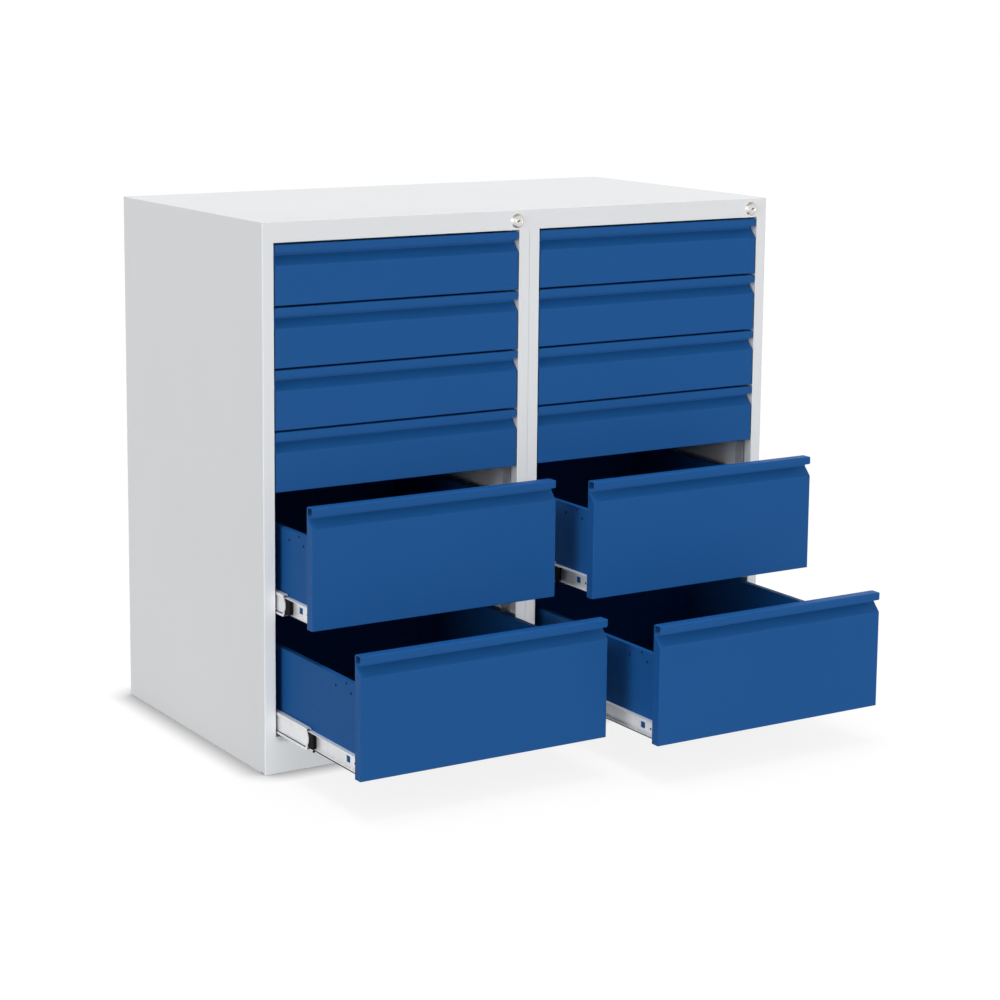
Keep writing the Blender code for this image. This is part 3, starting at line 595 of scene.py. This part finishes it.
def turned(profile, centre):
    """Revolves a closed profile of (radius, depth) pairs round an axis that runs along Y."""
    bm = bmesh.new()
    rings = []
    for radius, depth in profile:
        ring = []
        for step in range(ROUND_STEPS):
            turn = 2 * math.pi * step / ROUND_STEPS
            ring.append(bm.verts.new((centre[0] + radius * math.cos(turn), centre[1] + depth,
                                      centre[2] + radius * math.sin(turn))))
        rings.append(ring)
    for low, high in zip(rings, rings[1:] + rings[:1]):
        join_rings(bm, low, high)
    return bm


def arc(centre_r, centre_d, radius, start, end, steps):
    """Points of a profile along an arc, in (radius, depth), with its angles in degrees."""
    points = []
    for step in range(steps + 1):
        turn = math.radians(start + (end - start) * step / steps)
        points.append((centre_r + radius * math.cos(turn), centre_d - radius * math.sin(turn)))
    return points


def lock_rosette(word, centre):
    """The rosette with its bevelled rim, and the bush behind it."""
    seat = -SKIN
    front = -ROSETTE_DEPTH
    edge = ROSETTE_EDGE
    bore = PLUG_RADIUS + PLUG_CLEARANCE
    profile = [
        (ROSETTE_RADIUS, seat),
        *arc(ROSETTE_RADIUS - edge, seat - edge, edge, 0.0, ROSETTE_BEVEL, EDGE_STEPS),
        *arc(ROSETTE_FLAT, front + ROSETTE_SHOULDER, ROSETTE_SHOULDER, ROSETTE_BEVEL, 90.0, SHOULDER_STEPS),
        *arc(bore + edge, front + edge, edge, 90.0, 180.0, EDGE_STEPS),
        (bore, BUSH_LENGTH),
        (BUSH_RADIUS, BUSH_LENGTH),
        (BUSH_RADIUS, seat),
    ]
    rosette = add_piece(f"lock_rosette_{word}", turned(profile, centre), FINISH["nickel"], "cabinet",
                        SHARP_ANGLE)
    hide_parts(f"lock_housing_{word}")


def lock_plug_face(word, centre):
    """The face of the key cylinder, with a rounded edge and a fine ring."""
    profile = [
        *arc(PLUG_RADIUS - PLUG_EDGE, -PLUG_FRONT + PLUG_EDGE, PLUG_EDGE, 0.0, 90.0, SHOULDER_STEPS),
        (PLUG_RING + PLUG_RING_HALF, -PLUG_FRONT),
        (PLUG_RING, -PLUG_FRONT + PLUG_RING_DEPTH),
        (PLUG_RING - PLUG_RING_HALF, -PLUG_FRONT),
        (PLUG_CORE, -PLUG_FRONT),
        (PLUG_CORE, -PLUG_START),
        (PLUG_RADIUS, -PLUG_START),
    ]
    add_piece(f"lock_plug_face_{word}", turned(profile, centre), FINISH["nickel"], f"lock_cylinder_{word}",
              SHARP_ANGLE)


def lock_keyway_shade(word, centre):
    """The key slot as a thin dark slab of painted shade, with round ends, tilted across the cylinder's face.
    """
    long, wide = KEY_SLOT[0] / 2, KEY_SLOT[1] / 2
    lean, rise = math.cos(KEY_SLOT_TILT), math.sin(KEY_SLOT_TILT)
    outline = []
    for end in (-1, 1):
        for step in range(KEY_SLOT_STEPS + 1):
            turn = math.pi * (step / KEY_SLOT_STEPS - 0.5)
            along = end * (long - wide + wide * math.cos(turn))
            across = end * wide * math.sin(turn)
            x = centre[0] + along * lean - across * rise
            z = centre[2] + along * rise + across * lean
            outline.append((x, z))
    bm = bmesh.new()
    depths = (PLUG_FRONT - KEY_SLOT_SUNK, PLUG_FRONT + KEY_SLOT_PROUD)
    prism(bm, *([(x, FRONT - depth, z) for x, z in outline] for depth in depths))
    add_piece(f"lock_keyway_shade_{word}", bm, FINISH["hole"], f"lock_cylinder_{word}")


def locks():
    """Both locks: a rosette round a key cylinder with its slot."""
    for word, lock_x in LOCK_X.items():
        centre = (lock_x, FRONT, LOCK_Z)
        lock_rosette(word, centre)
        lock_plug_face(word, centre)
        lock_keyway_shade(word, centre)


def disc(bm, centre, radius, normal):
    """A thin round disc that faces along an axis, centred on its thickness."""
    axis = "XYZ".index(normal)
    others = [index for index in range(3) if index != axis]
    outlines = []
    for end in (-1, 1):
        outline = []
        for step in range(HOLE_STEPS):
            turn = 2 * math.pi * step / HOLE_STEPS
            place = list(centre)
            place[axis] += end * HOLE_PROUD
            place[others[0]] += radius * math.cos(turn)
            place[others[1]] += radius * math.sin(turn)
            outline.append(place)
        outlines.append(outline)
    prism(bm, *outlines)


def plinth_hole_shade():
    """The small hole in the plinth under the left column, as a dark disc of painted shade."""
    bm = bmesh.new()
    disc(bm, (PLINTH_HOLE[0], SKIN_FACE, PLINTH_HOLE[1]), PLINTH_HOLE_RADIUS, "Y")
    add_piece("plinth_hole_shade", bm, FINISH["hole"], "cabinet")


def painted_race_shadows(bm, centre_x, slide_z, start, end, race):
    """Painted shadow: dark strips along the lower race of both slides of a drawer."""
    inside_wall, drop = race
    size = (RACE_SHADOW_THICKNESS, end - start, RACE_SHADOW)
    for side in (-1, 1):
        x = centre_x + side * (WALL_DISTANCE - inside_wall)
        place = Matrix.Translation((x, (start + end) / 2, slide_z - drop - RACE_SHADOW / 2))
        bmesh.ops.create_cube(bm, size=1.0, matrix=place @ Matrix.Diagonal((*size, 1.0)))


def painted_hole_and_race_shade(drawer, low, high, centre_x, slide_z):
    """Painted shade that moves with a drawer: dark discs for its rivet holes and side holes, and dark strips
    along its slides' races.
    """
    face = low[1]
    bm = bmesh.new()
    for side in (-1, 1):
        box_x = centre_x + side * BOX_DISTANCE
        behind, drop = RIVET_HOLE
        disc(bm, (box_x + side * GAUGE, face + behind, slide_z - drop), RIVET_HOLE_RADIUS, "X")
        if high[2] - low[2] > DEEP_FRONT:
            for behind, drop in SIDE_HOLES:
                disc(bm, (box_x, face + behind, high[2] - drop), SIDE_HOLE_RADIUS, "X")
    start = face + SLIDE_START
    painted_race_shadows(bm, centre_x, slide_z, start, start + SLIDE_LENGTH, DRAWER_RACE_SHADOW)
    add_piece(f"{drawer}_painted_hole_and_race_shade", bm, FINISH["hole"], drawer)


def middle_painted_race_shadows(drawer, centre_x, slide_z):
    """Painted shadow lines along the races that move with a drawer's middle slides."""
    lowest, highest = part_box(f"{drawer}_left_middle_slide")
    bm = bmesh.new()
    start = lowest[1] + NOSE_BEHIND_BUFFER + RACE_END
    painted_race_shadows(bm, centre_x, slide_z, start, highest[1] - RACE_END, MIDDLE_RACE_SHADOW)
    add_piece(f"{drawer}_painted_race_shadows", bm, FINISH["hole"], f"{drawer}_middle")


def nose_tabs(drawer, centre_x, slide_z):
    """The rounded tabs on the noses of a drawer's middle slides."""
    bm = bmesh.new()
    for side, word in ((-1, "left"), (1, "right")):
        lowest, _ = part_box(f"{drawer}_{word}_middle_slide")
        nose = lowest[1] + NOSE_BEHIND_BUFFER
        root = nose + TAB_ROOT
        outline = []
        for step in range(TAB_STEPS + 1):
            turn = math.pi * (step / TAB_STEPS - 0.5)
            outline.append((nose - TAB_REACH * math.cos(turn), slide_z + TAB_RADIUS * math.sin(turn)))
        outline += [(root, slide_z + TAB_RADIUS), (root, slide_z - TAB_RADIUS)]
        outer = centre_x + side * (WALL_DISTANCE - WEB_DEPTH)
        prism(bm, *([(x, y, z) for y, z in outline] for x in (outer, outer - side * GAUGE)))
    add_piece(f"{drawer}_nose_tabs", bm, FINISH["zinc"], f"{drawer}_middle")


def drawer_details():
    """The painted shade of holes and races, and the nose tabs, of every drawer and its slides."""
    for name in sorted(NODES):
        if name.endswith("_front"):
            drawer = name.removesuffix("_front")
            low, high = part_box(name)
            centre_x = (low[0] + high[0]) / 2
            slide_z = low[2] + SLIDE_RISE
            painted_hole_and_race_shade(drawer, low, high, centre_x, slide_z)
            middle_painted_race_shadows(drawer, centre_x, slide_z)
            nose_tabs(drawer, centre_x, slide_z)


def pale_floor():
    """A pale floor that is seen as white, with a soft shade where the cabinet closes it in."""
    half = FLOOR_SIZE / 2
    corners = ((-half, -half), (half, -half), (half, half), (-half, half))
    mesh = bpy.data.meshes.new("floor")
    mesh.from_pydata([(x, y, -FLOOR_DROP) for x, y in corners], [], [(0, 1, 2, 3)])
    floor = bpy.data.objects.new("floor", mesh)
    bpy.context.scene.collection.objects.link(floor)
    shader = Shader("floor_finish")
    seen = shader.seen(shader.node("ShaderNodeLightPath"))
    level = shader.ranged(seen, FULL, (FLOOR_SHADE, FLOOR_SEEN_SHADE))
    grey = shader.node("ShaderNodeCombineColor")
    for channel in ("Red", "Green", "Blue"):
        shader.feed(grey.inputs[channel], level)
    contact = shader.maths("POWER", shader.openness(CONTACT_REACH), CONTACT_DEPTH)
    wide = shader.ranged(shader.openness(WIDE_REACH), FULL, (1.0 - WIDE_DEPTH, 1.0))
    glow = shader.maths("MULTIPLY", seen, FLOOR_SEEN_GLOW)
    glow = shader.maths("MULTIPLY", glow, shader.maths("MULTIPLY", contact, wide))
    shader.set(Base_Color=grey.outputs["Color"], Roughness=1.0, Specular_IOR_Level=0.0,
               Emission_Color=WHITE, Emission_Strength=glow)
    mesh.materials.append(shader.material)


def sky():
    """An even sky: white where it is seen, weaker where it lights, and greyer overhead in gloss."""
    world = bpy.data.worlds.new("studio")
    bpy.context.scene.world = world
    tree = Tree(world)
    path = tree.node("ShaderNodeLightPath")
    direction = tree.node("ShaderNodeTexCoord").outputs["Generated"]
    strength = tree.ranged(tree.seen(path), FULL, (SKY_STRENGTH, 1.0))
    glossy = (0.0, path.outputs["Is Glossy Ray"])
    zenith = tree.ranged(tree.along(direction, "Z"), ZENITH_RISE, glossy, interpolation_type="SMOOTHSTEP")
    shade = tree.maths("MULTIPLY_ADD", zenith, ZENITH_GLOSS - 1.0, 1.0)
    background = tree.nodes["Background"]
    tree.feed(background.inputs["Color"], WHITE)
    tree.feed(background.inputs["Strength"], tree.maths("MULTIPLY", strength, shade))


def lamps():
    """Broad, even lamps, each of which shines from its direction."""
    for name, (towards, strength, spread, mirrored) in LAMPS.items():
        data = bpy.data.lights.new(name, "SUN")
        data.energy = strength
        data.angle = spread
        item = bpy.data.objects.new(name, data)
        item.rotation_euler = Vector(towards).to_track_quat("Z", "Y").to_euler()
        item.visible_glossy = mirrored
        bpy.context.scene.collection.objects.link(item)


def camera():
    """The photograph's viewpoint."""
    forward = Vector((
        math.sin(CAMERA_YAW) * math.cos(CAMERA_PITCH),
        math.cos(CAMERA_YAW) * math.cos(CAMERA_PITCH),
        math.sin(CAMERA_PITCH),
    ))
    right = Vector((math.cos(CAMERA_YAW), -math.sin(CAMERA_YAW), 0.0))
    up = right.cross(forward)
    turn, lean = math.cos(CAMERA_ROLL), math.sin(CAMERA_ROLL)
    right, up = right * turn + up * lean, up * turn - right * lean
    data = bpy.data.cameras.new("camera")
    data.lens = CAMERA_LENS
    data.sensor_width = CAMERA_SENSOR
    data.shift_x, data.shift_y = CAMERA_SHIFT
    item = bpy.data.objects.new("camera", data)
    item.matrix_world = Matrix.Translation(CAMERA_PLACE) @ Matrix((right, up, -forward)).transposed().to_4x4()
    bpy.context.scene.collection.objects.link(item)
    bpy.context.scene.camera = item
    bpy.context.scene.view_settings.view_transform = "Standard"


dress_nodes()
carcass_paint()
locks()
drawer_details()
plinth_hole_shade()
pale_floor()
sky()
lamps()
camera()
